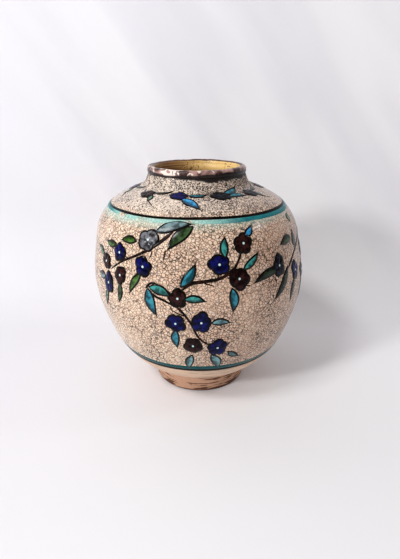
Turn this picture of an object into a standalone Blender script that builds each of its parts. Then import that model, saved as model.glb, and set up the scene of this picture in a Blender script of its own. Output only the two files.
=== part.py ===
"""Ball vase: thrown clay sections luted together, with raised enamel bands and flowering sprays.

Metres, +Z up. The origin is on the axis, at the table, and the front faces -Y.
"""

import itertools
import math

import bmesh
import bpy
import numpy as np
from mathutils import Vector
from mathutils.geometry import interpolate_bezier

MM = 0.001

# Driving dimensions: the foot
FOOT_HEIGHT = 14 * MM
FOOT_RADIUS = 46 * MM
FOOT_TOP_RADIUS = 48.6 * MM
FOOT_WIDTH = 10 * MM
FOOT_EDGE = 1.2 * MM

# Driving dimensions: stations of the outer wall, each rising from the one below it
ROOT_RADIUS = 49.5 * MM
LOWER_TURN_RADIUS = 69 * MM
LOWER_TURN_RISE = 15.5 * MM
LOWER_FLANK_RADIUS = 81.5 * MM
LOWER_FLANK_RISE = 20.5 * MM
FLANK_RADIUS = 92 * MM
FLANK_RISE = 24 * MM
BELLY_RADIUS = 100 * MM
BELLY_RISE = 40 * MM
UPPER_FLANK_RADIUS = 95.6 * MM
UPPER_FLANK_RISE = 34 * MM
SHOULDER_TURN_RADIUS = 90.8 * MM
SHOULDER_TURN_RISE = 20 * MM
SHOULDER_RADIUS = 79 * MM
SHOULDER_RISE = 15.6 * MM
SHOULDER_TOP_RADIUS = 57.6 * MM
SHOULDER_TOP_RISE = 11.6 * MM
NECK_ROOT_RADIUS = 48.6 * MM
NECK_ROOT_RISE = 3.8 * MM

# Driving dimensions: the wall, the neck and the rolled lip
WALL = 5.5 * MM
FLOOR_THICKNESS = 6.5 * MM
NECK_TOP_RADIUS = 44.4 * MM
NECK_RISE = 8.6 * MM
LIP_RADIUS = 3.6 * MM
LIP_OVERHANG = 0.4 * MM

# Driving dimensions: the luted seams, each a ridge in a groove filled with slip
SEAM_GAP = 0.3 * MM
RIDGE_HEIGHT = 1.8 * MM
RIDGE_WIDTH = 2.4 * MM

# Driving dimensions: the enamel, which stands proud of the wall
ENAMEL_GAP = 0.3 * MM
BAND_THICKNESS = 0.5 * MM
LINE_WIDTH = 1.8 * MM
SHOULDER_BAND_WIDTH = 2.6 * MM
FOOT_BAND_WIDTH = 4.0 * MM
FOOT_LINE_DISTANCE = 45 * MM
STEM_WIDTH = 1.8 * MM
TWIG_WIDTH = 1.1 * MM
BLOSSOM_RADIUS = 7.4 * MM
LEAF_WIDTH = 5.6 * MM
SPRIG_BLOSSOM_RADIUS = 6.0 * MM
SPRIG_LEAF_WIDTH = 3.4 * MM
SPRAY_GRID = 1 * MM

# Levels of each enamel colour above the wall, as low and high faces
STEM_LEVELS = (0.0, 0.55 * MM)
LEAF_LEVELS = (0.06 * MM, 0.75 * MM)
BLOSSOM_LEVELS = (0.12 * MM, 0.95 * MM)

# Fineness of the round shapes
SEGMENTS = 40
WALL_STEP = 7 * MM
LINING_STEP = 14 * MM
FINE_STEP = 0.5 * MM
STEM_STEP = 8 * MM
LIP_TURN = 30
PETALS = 5
PETAL_NOTCH = 0.8
LEAF_SHAPE = (0.2, 0.8, 1.0, 0.75, 0.15)
WELD = 0.001 * MM

# Colours: base colour, roughness
CLAY = ((0.46, 0.33, 0.22), 0.85)
CRACKLE = ((0.68, 0.58, 0.47), 0.35)
RIM_BROWN = ((0.16, 0.09, 0.07), 0.4)
COBALT = ((0.012, 0.025, 0.13), 0.12)
MANGANESE = ((0.035, 0.02, 0.018), 0.15)
TURQUOISE = ((0.03, 0.28, 0.30), 0.15)

# The sprays, drawn on a grid: steps across and steps up the wall, from the middle of each spray
# on the belly line. Steps across are measured at the belly
LEFT_SPRAY = {
    "angle": -35,
    "stems": [[(-22.5, 24), (-8.5, 33.5), (12, 43.5), (26, 51.5), (43.5, 67)]],
    "twigs": [
        [(22.5, 49.5), (17.5, 56)], [(-8.5, 33.5), (-10.5, 41.5)], [(-22.5, 24), (-29.5, 29.5)],
        [(7, 40.5), (15.5, 34.5)], [(-15.5, 28), (-8.5, 23)], [(-22.5, 24), (-24.5, 13)],
        [(35, 58.5), (43.5, 54)], [(-10.5, 42.5), (-5, 54)],
    ],
    "blossoms": [(17.5, 56), (-10.5, 41.5), (-29.5, 29.5), (15.5, 34.5), (-8.5, 23), (-24.5, 13)],
    "leaves": [
        [(28, 62.5), (56, 65.5)], [(50.5, 62), (36.5, 45.5)], [(-8.5, 53), (7, 55)],
        [(-14, 44.5), (-33, 45.5)], [(-34, 30.5), (-50.5, 35.5)], [(-29, 13.5), (-47, 13)],
        [(15, 31), (3.5, 12)], [(-8.5, 19), (-12, -1)], [(-25.5, 9), (-33, -9)],
    ],
}
CENTRE_SPRAY = {
    "angle": 3,
    "stems": [
        [(-21, 15), (-15.5, 23), (-1.5, 25.5), (14, 28), (24.5, 33.5), (30.5, 42.5), (33, 47.5)],
        [(-45.5, 18), (-42, 13), (-31.5, 9), (-21, 4), (-12, -8), (-5, -24.5), (5, -34.5)],
    ],
    "twigs": [
        [(33, 47), (35, 53)], [(14, 28), (13, 38.5)], [(21, 31.5), (29, 26)],
        [(-21, 12), (-21, 3)], [(-15.5, -3), (-24.5, -10)], [(-12, -8), (-3.5, -8)],
        [(-3.5, -25.5), (-10.5, -32.5)], [(5, -34.5), (10.5, -35.5)],
    ],
    "blossoms": [
        (35, 53), (13, 38.5), (29, 26), (-21, 12),
        (-24.5, -10), (-3.5, -8), (-10.5, -32.5), (10.5, -35.5),
    ],
    "leaves": [
        [(37.5, 56.5), (49, 65.5)], [(16, 41), (18.5, 59.5)], [(30, 31), (47, 42.5)],
        [(26.5, 22.5), (23.5, 3)], [(-17.5, 22), (-5, 38.5)], [(-17.5, 12), (0, 10.5)],
        [(-45.5, 18), (-40, -4)], [(-45.5, 18), (-24.5, 15)], [(-24.5, -14), (-26, -34.5)],
        [(1, -8), (19, -10)], [(-11.5, -37), (-15, -61.5)], [(10.5, -40), (15.5, -62.5)],
        [(15, -37.5), (33, -51.5)],
    ],
}
RIGHT_SPRAY = {
    "angle": 60,
    "stems": [[(35, 39.5), (12, 35.5), (-8.5, 30.5), (-22.5, 25)]],
    "twigs": [
        [(-8.5, 30.5), (-1.5, 19)], [(-15.5, 27), (-15.5, 40.5)], [(0, 32.5), (0, 38.5)],
        [(26, 37.5), (31.5, 29.5)], [(31.5, 29.5), (21, 12)], [(-22.5, 25), (-28, 28)],
    ],
    "blossoms": [(-28, 28), (-1.5, 19), (31.5, 29.5), (21, 12), (21, 48.5)],
    "leaves": [
        [(-17.5, 38.5), (-12, 51.5)], [(0, 36.5), (5, 48.5)], [(-32, 27.5), (-57.5, 21)],
        [(-26, 24.5), (-38.5, 3)], [(-4, 15), (-12, -5)], [(19, 8), (17.5, -11)],
        [(36, 28), (52.5, 19)], [(24.5, 37), (21, 47.5)],
    ],
}
SPRAYS = {"left": LEFT_SPRAY, "centre": CENTRE_SPRAY, "right": RIGHT_SPRAY}
SIDE_TURNS = {"front": 0, "back": 180}

# The sprigs round the neck, drawn on the same grid, down from the neck's root
SPRIG = {
    "stems": [[(0, -9.5), (22.5, -10)]],
    "twigs": [],
    "blossoms": [(0, -9.5)],
    "leaves": [[(5, -9), (36.5, -5.5)], [(5, -10.5), (29.5, -22.5)]],
}
SPRIG_COUNT = 10
SPRIG_FIRST_ANGLE = -15


def clear_scene():
    for obj in list(bpy.data.objects):
        bpy.data.objects.remove(obj)


def new_collection(name):
    collection = bpy.data.collections.new(name)
    bpy.context.scene.collection.children.link(collection)
    return collection


def new_material(name, colour, roughness):
    material = bpy.data.materials.new(name)
    material.use_nodes = True
    shader = material.node_tree.nodes["Principled BSDF"]
    shader.inputs["Base Color"].default_value = (*colour, 1)
    shader.inputs["Roughness"].default_value = roughness
    shader.inputs["Metallic"].default_value = 0
    return material


def smooth_outline(stations, longest):
    """Points of a smooth curve through the stations, no further apart than the longest step."""
    knots = [Vector((radius, height)) for radius, height in stations]
    chords = [b - a for a, b in zip(knots, knots[1:])]
    ways = [a.normalized() * b.length + b.normalized() * a.length for a, b in zip(chords, chords[1:])]
    ways = [way.normalized() for way in ways]
    ways = [chords[0].normalized(), *ways, chords[-1].normalized()]
    points = [knots[0]]
    for a, b, way_a, way_b in zip(knots, knots[1:], ways, ways[1:]):
        reach = (b - a).length / 3
        count = math.ceil((b - a).length / longest)
        points += interpolate_bezier(a, a + way_a * reach, b - way_b * reach, b, count + 1)[1:]
    return [Vector(point[:2]) for point in points]


def outward(points):
    """The unit normal at each point of an outline that runs upward."""
    arms = np.gradient(np.array(points), axis=0)
    lengths = np.linalg.norm(arms, axis=1)
    return [Vector((way[1], -way[0])) / length for way, length in zip(arms, lengths)]


def wall_stations():
    """Radius and height of each station of the outer wall, from the foot up to the neck."""
    steps = [
        (ROOT_RADIUS, FOOT_HEIGHT),
        (LOWER_TURN_RADIUS, LOWER_TURN_RISE),
        (LOWER_FLANK_RADIUS, LOWER_FLANK_RISE),
        (FLANK_RADIUS, FLANK_RISE),
        (BELLY_RADIUS, BELLY_RISE),
        (UPPER_FLANK_RADIUS, UPPER_FLANK_RISE),
        (SHOULDER_TURN_RADIUS, SHOULDER_TURN_RISE),
        (SHOULDER_RADIUS, SHOULDER_RISE),
        (SHOULDER_TOP_RADIUS, SHOULDER_TOP_RISE),
        (NECK_ROOT_RADIUS, NECK_ROOT_RISE),
    ]
    heights = itertools.accumulate(rise for _, rise in steps)
    return [(radius, height) for (radius, _), height in zip(steps, heights)]


STATIONS = wall_stations()
BELLY_HEIGHT = STATIONS[4][1]
SHOULDER_HEIGHT = STATIONS[7][1]
NECK_ROOT_HEIGHT = STATIONS[9][1]
NECK_TOP_HEIGHT = NECK_ROOT_HEIGHT + NECK_RISE


class Wall:
    """The smooth outer wall, measured by the distance up it from the foot."""

    def __init__(self, stations):
        points = smooth_outline(stations, FINE_STEP)
        self.points = np.array(points)
        self.normals = np.array(outward(points))
        steps = np.linalg.norm(np.diff(self.points, axis=0), axis=1)
        self.lengths = np.concatenate([[0], np.cumsum(steps)])

    def distance(self, height):
        return float(np.interp(height, self.points[:, 1], self.lengths))

    def at(self, distance, lift):
        """Radius and height of the point that far up the wall, lifted off it."""
        place = [np.interp(distance, self.lengths, self.points[:, k]) for k in (0, 1)]
        normal = [np.interp(distance, self.lengths, self.normals[:, k]) for k in (0, 1)]
        return Vector((place[0] + normal[0] * lift, place[1] + normal[1] * lift))


def add_object(name, mesh, collection, *materials):
    obj = bpy.data.objects.new(name, mesh)
    collection.objects.link(obj)
    for material in materials:
        mesh.materials.append(material)
    return obj


def turned(name, profile, material, collection):
    """A piece turned from a profile that runs down its outer side. Ends on the axis stay open."""
    mesh = bpy.data.meshes.new(name)
    count = len(profile)
    edges = [(i, i + 1) for i in range(count - 1)]
    if profile[0][0] > WELD:
        edges.append((count - 1, 0))
    mesh.from_pydata([(radius, 0, height) for radius, height in profile], edges, [])
    obj = add_object(name, mesh, collection, material)
    turn = obj.modifiers.new("Turn", "SCREW")
    turn.steps = SEGMENTS
    turn.render_steps = SEGMENTS
    turn.use_merge_vertices = True
    turn.merge_threshold = WELD
    turn.use_smooth_shade = True
    return obj


def ridge(inner, outer, height):
    """The top of a wall, from inside to outside, with its raised ridge."""
    middle = (inner + outer) / 2
    return [
        (inner, height),
        (middle - RIDGE_WIDTH / 2, height),
        (middle, height + RIDGE_HEIGHT),
        (middle + RIDGE_WIDTH / 2, height),
        (outer, height),
    ]


def groove(inner, outer, height):
    """The underside of a wall, from outside to inside, grooved to sit over a ridge at this height."""
    middle = (inner + outer) / 2
    base = height + SEAM_GAP
    reach = RIDGE_WIDTH / 2 + SEAM_GAP
    return [
        (outer, base),
        (middle + reach, base),
        (middle, base + RIDGE_HEIGHT + SEAM_GAP),
        (middle - reach, base),
        (inner, base),
    ]


def lining():
    """Points of the inner face, a wall's thickness in from the outer one."""
    outer = smooth_outline(STATIONS, LINING_STEP)
    return [p - n * WALL for p, n in zip(outer, outward(outer))]


def foot_ring(collection, clay):
    inner = FOOT_RADIUS - FOOT_WIDTH
    profile = ridge(inner, FOOT_TOP_RADIUS, FOOT_HEIGHT - SEAM_GAP)
    profile += [
        (FOOT_RADIUS, FOOT_EDGE),
        (FOOT_RADIUS - FOOT_EDGE, 0),
        (inner + FOOT_EDGE, 0),
        (inner, FOOT_EDGE),
    ]
    turned("foot_ring", profile, clay, collection)


def lower_bowl(collection, glazed):
    """The bottom half of the ball, with the floor, from the foot up to the belly seam."""
    seam = BELLY_HEIGHT - SEAM_GAP
    shell = [p for p in smooth_outline(STATIONS, WALL_STEP) if p.y < seam]
    floor = FOOT_HEIGHT + FLOOR_THICKNESS
    inside = [p for p in lining() if floor + WALL / 2 < p.y < seam - WALL / 2]
    foot_inner = FOOT_RADIUS - FOOT_WIDTH
    profile = [Vector((0, floor)), Vector((ROOT_RADIUS - WALL, floor)), *inside]
    profile += ridge(BELLY_RADIUS - WALL, BELLY_RADIUS, seam)
    profile += reversed(shell[1:])
    profile += [(ROOT_RADIUS, FOOT_HEIGHT)]
    profile += groove(foot_inner, FOOT_TOP_RADIUS, FOOT_HEIGHT - SEAM_GAP)
    profile += [(0, FOOT_HEIGHT)]
    turned("lower_bowl", profile, glazed, collection)


def upper_bowl(collection, glazed):
    """The top half of the ball, from the belly seam up to the neck seam."""
    shell = [p for p in smooth_outline(STATIONS, WALL_STEP) if p.y > BELLY_HEIGHT + SEAM_GAP]
    hole = NECK_ROOT_RADIUS - WALL
    inside = [p for p in lining() if p.y > BELLY_HEIGHT + WALL / 2 and p.x > hole + WALL / 2]
    profile = ridge(hole, NECK_ROOT_RADIUS, NECK_ROOT_HEIGHT)
    profile += reversed(shell[:-1])
    profile += groove(BELLY_RADIUS - WALL, BELLY_RADIUS, BELLY_HEIGHT - SEAM_GAP)
    profile += inside
    profile += [(hole, NECK_ROOT_HEIGHT - WALL)]
    turned("upper_bowl", profile, glazed, collection)


def neck_collar(collection, glazed):
    profile = ridge(NECK_TOP_RADIUS - WALL, NECK_TOP_RADIUS, NECK_TOP_HEIGHT)
    profile += groove(NECK_ROOT_RADIUS - WALL, NECK_ROOT_RADIUS, NECK_ROOT_HEIGHT)
    turned("neck_collar", profile, glazed, collection)


def rolled_lip(collection, brown):
    """The thickened lip, a half-round roll over the neck's top."""
    inner = NECK_TOP_RADIUS - WALL - LIP_OVERHANG
    outer = NECK_TOP_RADIUS + LIP_OVERHANG
    base = NECK_TOP_HEIGHT + SEAM_GAP
    half = (outer - inner) / 2
    middle = (outer + inner) / 2
    turns = [math.radians(angle) for angle in range(180, -1, -LIP_TURN)]
    profile = [
        (middle + half * math.cos(turn), base + LIP_RADIUS * (1 + math.sin(turn))) for turn in turns
    ]
    profile += groove(NECK_TOP_RADIUS - WALL, NECK_TOP_RADIUS, NECK_TOP_HEIGHT)
    turned("rolled_lip", profile, brown, collection)


def band(name, wall, low, high, material, collection):
    """A raised ring of enamel between two distances up the wall."""
    near = ENAMEL_GAP
    far = ENAMEL_GAP + BAND_THICKNESS
    profile = [wall.at(high, near), wall.at(high, far), wall.at(low, far), wall.at(low, near)]
    turned(name, profile, material, collection)


def bands(wall, turquoise, manganese, collection):
    line = wall.distance(SHOULDER_HEIGHT)
    edge = line - LINE_WIDTH / 2 - SEAM_GAP
    band("shoulder_line", wall, line - LINE_WIDTH / 2, line + LINE_WIDTH / 2, manganese, collection)
    band("shoulder_band", wall, edge - SHOULDER_BAND_WIDTH, edge, turquoise, collection)
    line = FOOT_LINE_DISTANCE
    edge = line + LINE_WIDTH / 2 + SEAM_GAP
    band("foot_line", wall, line - LINE_WIDTH / 2, line + LINE_WIDTH / 2, manganese, collection)
    band("foot_band", wall, edge, edge + FOOT_BAND_WIDTH, turquoise, collection)


class Enamel:
    """Flat plates of enamel laid out on the unrolled wall, joined there and then wrapped round it.

    Unrolled, x is the angle times the belly's radius, y the distance up the wall, z the lift off it.
    The grid of a spray starts at an angle and at a height on the wall.
    """

    COLOURS = {"stem": 0, "blossom": 1, "leaf": 2}

    def __init__(self, wall, angle, height):
        self.wall = wall
        self.start = Vector((math.radians(angle) * BELLY_RADIUS, wall.distance(height)))
        self.first = bmesh.new()
        self.rest = bmesh.new()

    def spot(self, across, up):
        return self.start + Vector((across, up)) * SPRAY_GRID

    def widening(self, point):
        """How much wider a shape is unrolled than on the wall."""
        return BELLY_RADIUS / self.wall.at(point.y, 0).x

    def finish_plate(self, plate, into, levels, colour):
        faces = list(plate.faces)
        bmesh.ops.translate(plate, verts=plate.verts, vec=(0, 0, levels[0]))
        raised = bmesh.ops.extrude_face_region(plate, geom=faces, use_keep_orig=True)["geom"]
        corners = [item for item in raised if isinstance(item, bmesh.types.BMVert)]
        bmesh.ops.translate(plate, verts=corners, vec=(0, 0, levels[1] - levels[0]))
        bmesh.ops.recalc_face_normals(plate, faces=plate.faces)
        for face in plate.faces:
            face.material_index = self.COLOURS[colour]
        mesh = bpy.data.meshes.new("plate")
        plate.to_mesh(mesh)
        plate.free()
        into.from_mesh(mesh)
        bpy.data.meshes.remove(mesh)

    def strip(self, points, widths, into, levels, colour):
        """A flat strip along the points, as wide at each as the width given there."""
        plate = bmesh.new()
        pairs = []
        for i, (point, width) in enumerate(zip(points, widths)):
            wide = self.widening(point)
            way = points[min(i + 1, len(points) - 1)] - points[max(i - 1, 0)]
            side = Vector((-way.y, way.x / wide)).normalized() * width / 2
            side.x *= wide
            pairs.append([plate.verts.new((*(point + sign * side), 0)) for sign in (1, -1)])
        for (a, b), (c, d) in zip(pairs, pairs[1:]):
            plate.faces.new((a, b, d, c))
        self.finish_plate(plate, into, levels, colour)

    def stem(self, spots, width, into=None):
        """A stem through the spots that tapers to half its width."""
        knots = [self.spot(*spot) for spot in spots]
        points = smooth_outline(knots, STEM_STEP)
        widths = np.linspace(width, width / 2, len(points))
        self.strip(points, widths, into or self.rest, STEM_LEVELS, "stem")

    def leaf(self, base, tip, width):
        start = self.spot(*base)
        reach = self.spot(*tip) - start
        last = len(LEAF_SHAPE) - 1
        points = [start + reach * i / last for i in range(last + 1)]
        self.strip(points, [width * share for share in LEAF_SHAPE], self.rest, LEAF_LEVELS, "leaf")

    def blossom(self, spot, radius):
        """A rosette of petals, its edge drawn in between them."""
        centre = self.spot(*spot)
        plate = bmesh.new()
        bmesh.ops.create_circle(plate, cap_ends=True, cap_tris=True, segments=2 * PETALS, radius=radius)
        rim = [vert for vert in plate.verts if vert.co.length > radius / 2]
        for i, vert in enumerate(rim):
            vert.co *= 1 if i % 2 else PETAL_NOTCH
        for vert in plate.verts:
            vert.co.x *= self.widening(centre)
            vert.co.xy += centre
        self.finish_plate(plate, self.rest, BLOSSOM_LEVELS, "blossom")

    def wrapped(self, name, materials, collection, helpers):
        """Joins the plates into one body and wraps it round the wall."""
        flat = []
        for shapes in (self.first, self.rest):
            mesh = bpy.data.meshes.new(name)
            shapes.to_mesh(mesh)
            shapes.free()
            flat.append(add_object(name, mesh, helpers, *materials))
        join = flat[0].modifiers.new("Join", "BOOLEAN")
        join.operation = "UNION"
        join.object = flat[1]
        join.use_self = True
        graph = bpy.context.evaluated_depsgraph_get()
        mesh = bpy.data.meshes.new_from_object(flat[0].evaluated_get(graph))
        for obj in flat:
            bpy.data.objects.remove(obj)
        for vert in mesh.vertices:
            angle = vert.co.x / BELLY_RADIUS
            radius, height = self.wall.at(vert.co.y, ENAMEL_GAP + vert.co.z)
            vert.co = (radius * math.sin(angle), -radius * math.cos(angle), height)
        body = bmesh.new()
        body.from_mesh(mesh)
        bmesh.ops.remove_doubles(body, verts=body.verts, dist=WELD)
        bmesh.ops.triangulate(body, faces=body.faces)
        body.to_mesh(mesh)
        body.free()
        mesh.name = name
        collection.objects.link(bpy.data.objects.new(name, mesh))


def painted(name, enamel, layout, leaf_width, blossom_radius, materials, collection, helpers):
    """A spray or sprig from its layout: stems, twigs, leaves and blossoms in one body."""
    main_stem, *other_stems = layout["stems"]
    enamel.stem(main_stem, STEM_WIDTH, enamel.first)
    for spots in other_stems:
        enamel.stem(spots, STEM_WIDTH)
    for spots in layout["twigs"]:
        enamel.stem(spots, TWIG_WIDTH)
    for base, tip in layout["leaves"]:
        enamel.leaf(base, tip, leaf_width)
    for spot in layout["blossoms"]:
        enamel.blossom(spot, blossom_radius)
    enamel.wrapped(name, materials, collection, helpers)


def sprays(wall, materials, collection, helpers):
    for side, turn in SIDE_TURNS.items():
        for place, layout in SPRAYS.items():
            enamel = Enamel(wall, turn + layout["angle"], BELLY_HEIGHT)
            name = f"{side}_{place}_spray"
            painted(name, enamel, layout, LEAF_WIDTH, BLOSSOM_RADIUS, materials, collection, helpers)


def sprigs(wall, materials, collection, helpers):
    for i in range(SPRIG_COUNT):
        enamel = Enamel(wall, SPRIG_FIRST_ANGLE + i * 360 / SPRIG_COUNT, NECK_ROOT_HEIGHT)
        name = f"neck_sprig_{i + 1:02d}"
        painted(
            name, enamel, SPRIG, SPRIG_LEAF_WIDTH, SPRIG_BLOSSOM_RADIUS, materials, collection, helpers
        )


def main():
    clear_scene()
    pieces = new_collection("ball_vase")
    helpers = new_collection("flat_plates")
    clay = new_material("bare_clay", *CLAY)
    glazed = new_material("crackle_glaze", *CRACKLE)
    brown = new_material("rim_glaze", *RIM_BROWN)
    manganese = new_material("manganese_enamel", *MANGANESE)
    cobalt = new_material("cobalt_enamel", *COBALT)
    turquoise = new_material("turquoise_enamel", *TURQUOISE)
    foot_ring(pieces, clay)
    lower_bowl(pieces, glazed)
    upper_bowl(pieces, glazed)
    neck_collar(pieces, glazed)
    rolled_lip(pieces, brown)
    wall = Wall(STATIONS)
    bands(wall, turquoise, manganese, pieces)
    enamels = (manganese, cobalt, turquoise)
    sprays(wall, enamels, pieces, helpers)
    sprigs(wall, enamels, pieces, helpers)


main()
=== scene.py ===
import math

import bpy
import numpy as np
from bpy.props import FloatProperty, FloatVectorProperty, IntProperty, PointerProperty
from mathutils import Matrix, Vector
from mathutils.geometry import interpolate_bezier


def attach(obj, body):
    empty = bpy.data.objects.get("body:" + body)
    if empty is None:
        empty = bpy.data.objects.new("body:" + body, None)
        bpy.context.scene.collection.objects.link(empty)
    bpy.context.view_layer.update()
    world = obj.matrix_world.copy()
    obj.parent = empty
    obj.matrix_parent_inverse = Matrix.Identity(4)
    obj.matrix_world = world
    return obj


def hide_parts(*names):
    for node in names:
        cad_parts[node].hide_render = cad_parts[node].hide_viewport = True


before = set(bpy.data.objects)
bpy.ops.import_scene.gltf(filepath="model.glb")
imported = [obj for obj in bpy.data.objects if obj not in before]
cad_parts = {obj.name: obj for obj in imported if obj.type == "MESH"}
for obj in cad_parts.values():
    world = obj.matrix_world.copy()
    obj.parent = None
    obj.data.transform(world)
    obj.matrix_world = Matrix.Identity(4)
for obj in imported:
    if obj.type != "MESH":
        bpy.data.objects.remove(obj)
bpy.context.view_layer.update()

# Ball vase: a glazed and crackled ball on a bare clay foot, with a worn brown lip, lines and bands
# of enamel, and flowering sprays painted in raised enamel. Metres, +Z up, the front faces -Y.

bl_info = {
    "name": "Ball vase",
    "version": (1, 0, 0),
    "blender": (4, 5, 0),
    "location": "View3D > Sidebar > Vase",
    "description": "Builds the glazed ball vase piece by piece, and the stage that it stands on",
    "category": "Add Mesh",
}

MM = 0.001

# The sprays, drawn on a grid of millimetres: across at the belly and up the wall, from the middle
# of each spray on the belly line. Stems are knots, first and last width; leaves are base, tip, width,
# tint; blossoms are place, radius or radii across and up, turn in degrees, tint
LEFT_SPRAY = {
    "angle": -35,
    "stems": [([(-22.5, 24), (-8.5, 33.5), (12, 43.5), (26, 51.5), (41, 63.5)], 1.3, 3.3)],
    "twigs": [
        [(2, 37.5), (-6, 40)], [(18, 42.5), (17, 39.5)], [(-21, 27), (-26, 29)],
        [(-8, 30), (-9, 27)], [(35.5, 49), (34, 40.5)], [(24, 47), (21.5, 41)],
    ],
    "leaves": [
        [(58.5, 68.5), (35, 46.5), 9.4, "moss"], [(24, 62), (61.5, 70.5), 9.4, "slate"],
        [(8, 53), (-11.5, 51), 7, "green"], [(-15, 47), (-33, 47), 6.4, "green"],
        [(-34, 33), (-50.5, 39.5), 6, "sage"], [(-30, 16), (-44, 17), 7.6, "slate"],
        [(14, 29), (1.5, 7.5), 6.8, "green"], [(-8.5, 17), (-12, -4), 6.4, "moss"],
        [(-25.5, 6), (-33, -14), 6, "sage"],
    ],
    "blossoms": [
        # The first blossom's grey tint is a painted highlight on a plum blossom.
        [(19, 55.5), 9.4, 0, "ash"], [(-10.5, 41), (7.4, 8.6), 20, "cobalt"],
        [(-29.5, 29.5), 7.4, 40, "plum"], [(15.5, 34), (8.2, 8.8), 10, "cobalt"],
        [(-8.5, 22.5), (7.4, 8.2), 50, "plum"], [(-24.5, 12), (8.2, 9.6), 30, "cobalt"],
    ],
}
CENTRE_SPRAY = {
    "angle": 3,
    "stems": [
        ([(-18, 18), (-11, 24), (-1.5, 25.5), (14, 28), (24.5, 33.5), (30.5, 42.5), (33, 48)], 3.2, 2),
        ([(-47, 19), (-42, 13.5), (-31.5, 9), (-21, 4), (-12, -8), (-5, -24.5), (5, -34.5)], 2, 1.9),
        ([(-48, 17), (-43, 22), (-34, 20), (-25, 15)], 1.9, 1.2),
    ],
    "twigs": [
        [(11, 28), (13, 33)], [(19, 27.5), (25, 27)], [(-16, -3), (-27, 2)], [(-11, -9), (-6, -3)],
        [(-4.5, -24.5), (-8.5, -31)], [(0, 24.5), (8, 22)],
    ],
    "leaves": [
        [(37.5, 57.5), (48.5, 67.5), 6.2, "sky"], [(18, 43), (20, 61.5), 7, "sea"],
        [(33, 32.5), (50, 46), 6.6, "sea"], [(22.5, 19.5), (22, -3), 8, "teal"],
        [(-18.5, 21), (-5, 42), 8, "teal"], [(-16, 11.5), (3, 9.5), 6.8, "sea"],
        [(-46, 18), (-38, -7.5), 9, "teal"], [(-45, 19), (-24, 12), 8.4, "sea"],
        [(-24, -16), (-24.5, -39), 7.4, "teal"], [(4.5, -9), (22.5, -10.5), 7, "mist"],
        [(-12, -44.5), (-17, -68), 7.6, "mist"], [(5.5, -44.5), (14.5, -67), 8.8, "mist"],
        [(21, -42.5), (35, -52), 6.4, "mist"],
    ],
    "blossoms": [
        [(35, 53), 8.6, 12, "plum"], [(13, 38.5), 8.9, 34, "cobalt"], [(29, 26), 9.5, 60, "plum"],
        [(-21, 12), 8.1, 24, "plum"], [(-23.8, -10), (8.6, 9.2), 46, "cobalt"],
        [(-3, -8.5), (9, 9.8), 5, "cobalt"], [(-10.8, -33), (7.8, 10), 52, "plum"],
        [(10.8, -36), (9, 9.8), 18, "cobalt"],
    ],
}
RIGHT_SPRAY = {
    "angle": 60,
    "stems": [([(35, 48), (17, 40.5), (-3, 31), (-15, 23)], 3.6, 2.4)],
    "twigs": [
        [(-8.5, 29), (-4, 24)], [(26, 42), (30, 34)], [(31.5, 29.5), (24, 16)], [(-61, 19), (-66, 20)],
    ],
    "leaves": [
        [(-3, 47.5), (-25.5, 44.5), 8, "moss"], [(6.5, 37), (3.5, 54.5), 9, "dusk"],
        [(-27, 27.5), (-61, 19), 7.6, "dusk"], [(-15, 25.5), (-40, -1), 8, "dusk"],
        [(-4, 12), (-12, -10), 7, "dusk"], [(19, 4), (16, -16), 7, "dusk"],
        [(36, 28), (52.5, 19), 6, "dusk"], [(8, 59), (12.5, 67.5), 8, "sage"],
    ],
    "blossoms": [
        [(-28, 29), (8.4, 9.8), 30, "ink"], [(-1.5, 18), (8.2, 9.4), 10, "cobalt"],
        [(31.5, 29.5), 8.4, 48, "plum"], [(21, 11), 8.4, 22, "cobalt"],
    ],
}
SPRAYS = {"left": LEFT_SPRAY, "centre": CENTRE_SPRAY, "right": RIGHT_SPRAY}
SIDE_TURNS = {"front": 0, "back": 180}

# The sprigs round the neck, drawn on the same grid, down from the neck's root, and the kind, the
# blossom's tint and a small turn in degrees of each, in order round the neck
BLUE_SPRIG = {
    "stems": [([(0, -7), (10, -7.5), (16, -8.5)], 1.6, 1)],
    "twigs": [[(16, -8.5), (46, -9.5)], [(-9, -5.5), (-15, -3)]],
    "leaves": [[(13, -5.5), (48, -3.4), 5.8, "teal"], [(6, -11), (33, -27), 8.6, "sky"]],
    "blossoms": [[(0, -7), (8.2, 6.6), 15, "cobalt"]],
}
TEAL_SPRIG = {
    "stems": [([(0, -7), (8, -4), (14, -2)], 1.8, 1)],
    "twigs": [[(-10, -6), (-18, -2)]],
    "leaves": [[(8, -4), (42, 3.5), 7, "teal"], [(11, -9), (44, -12.5), 6.8, "teal"]],
    "blossoms": [[(0, -7.5), (8.8, 7), 40, "cobalt"]],
}
GREY_SPRIG = {
    "stems": [([(0, -8.5), (8, -6.5), (14, -5)], 1.8, 1)],
    "twigs": [[(-12, -8), (-20, -3)], [(14, -17), (27, -23)]],
    "leaves": [[(9, -6), (45, 1), 4.4, "dusk"], [(11.5, -10), (15, -20), 5.6, "sage"]],
    "blossoms": [[(0, -9), (8.2, 6.6), 40, "plum"]],
}
SPRIGS = (
    (BLUE_SPRIG, "cobalt", 0), (TEAL_SPRIG, "ink", 0), (GREY_SPRIG, "ink", -3),
    (GREY_SPRIG, "cobalt", 0), (GREY_SPRIG, "plum", 5),
)
SPRIG_COUNT = 10
SPRIG_FIRST_ANGLE = -15

# How the brush lays the strokes: twigs and the tips of leaves by width in millimetres, leaves a little
# wider than they are drawn and bent to one side and the other by shares of their length
TWIG_WIDTHS = (1.2, 0.8)
TIP_WIDTH = 1.2
LEAF_SPREAD = 1.06
LEAF_BENDS = (-0.06, 0.07)

# Stations of the wall that other pieces are placed by
SHOULDER_STATION = 7
ROOT_STATION = 9

# The lean is full near the foot and ends at the shoulder
LEAN_TOP = 190 * MM
LEAN_DEPTH = 150 * MM

# Specks in a row a metre long, and the slant of the cloth's folds in radians
SPECKS_PER_METRE = 950
FOLD_SLANT = 0.7

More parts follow.
